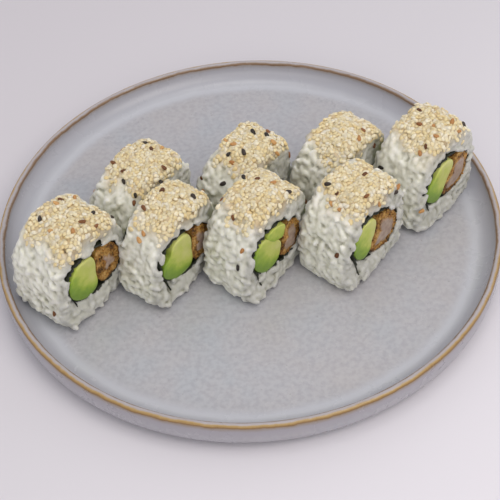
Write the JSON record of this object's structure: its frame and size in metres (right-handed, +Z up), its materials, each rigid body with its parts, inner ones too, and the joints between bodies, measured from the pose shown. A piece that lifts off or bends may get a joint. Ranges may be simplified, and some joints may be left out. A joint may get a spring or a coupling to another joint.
{
  "type": "shrimp tempura avocado roll on a plate",
  "caption": "Cut inside-out sushi roll pieces with avocado and battered shrimp, crusted with sesame, standing in two staggered rows on a low round stoneware plate.",
  "frame": {"origin": "middle of the plate's foot, on the surface the plate stands on", "axes": "+Z up; -Y towards the diner, who sees the filled cut faces; +X to the diner's right"},
  "size_m": [0.25, 0.25, 0.0564],
  "materials": {
    "stoneware": "satin grey reactive glaze with a golden brown rim",
    "rice": "moist cooked rice with a crust of hulled sesame seeds",
    "nori": "matt dark green-black seaweed",
    "avocado": "soft satin, green at the outside and yellow inside",
    "shrimp": "golden brown crisp batter round pale pinkish grey shrimp"
  },
  "bodies": {
    "root": {"plate": "stoneware", "rice_1": "rice", "rice_2": "rice", "rice_3": "rice", "rice_4": "rice", "rice_5": "rice", "rice_6": "rice", "rice_7": "rice", "rice_8": "rice", "nori_1": "nori", "nori_2": "nori", "nori_3": "nori", "nori_4": "nori", "nori_5": "nori", "nori_6": "nori", "nori_7": "nori", "nori_8": "nori", "avocado_1": "avocado", "avocado_2": "avocado", "avocado_3_upper": "avocado", "avocado_3_lower": "avocado", "avocado_4": "avocado", "avocado_5": "avocado", "avocado_6": "avocado", "avocado_7": "avocado", "avocado_8": "avocado", "shrimp_1": "shrimp", "shrimp_2": "shrimp", "shrimp_3": "shrimp", "shrimp_4": "shrimp", "shrimp_5": "shrimp", "shrimp_6": "shrimp", "shrimp_7": "shrimp", "shrimp_8": "shrimp"}
  },
  "joints": []
}
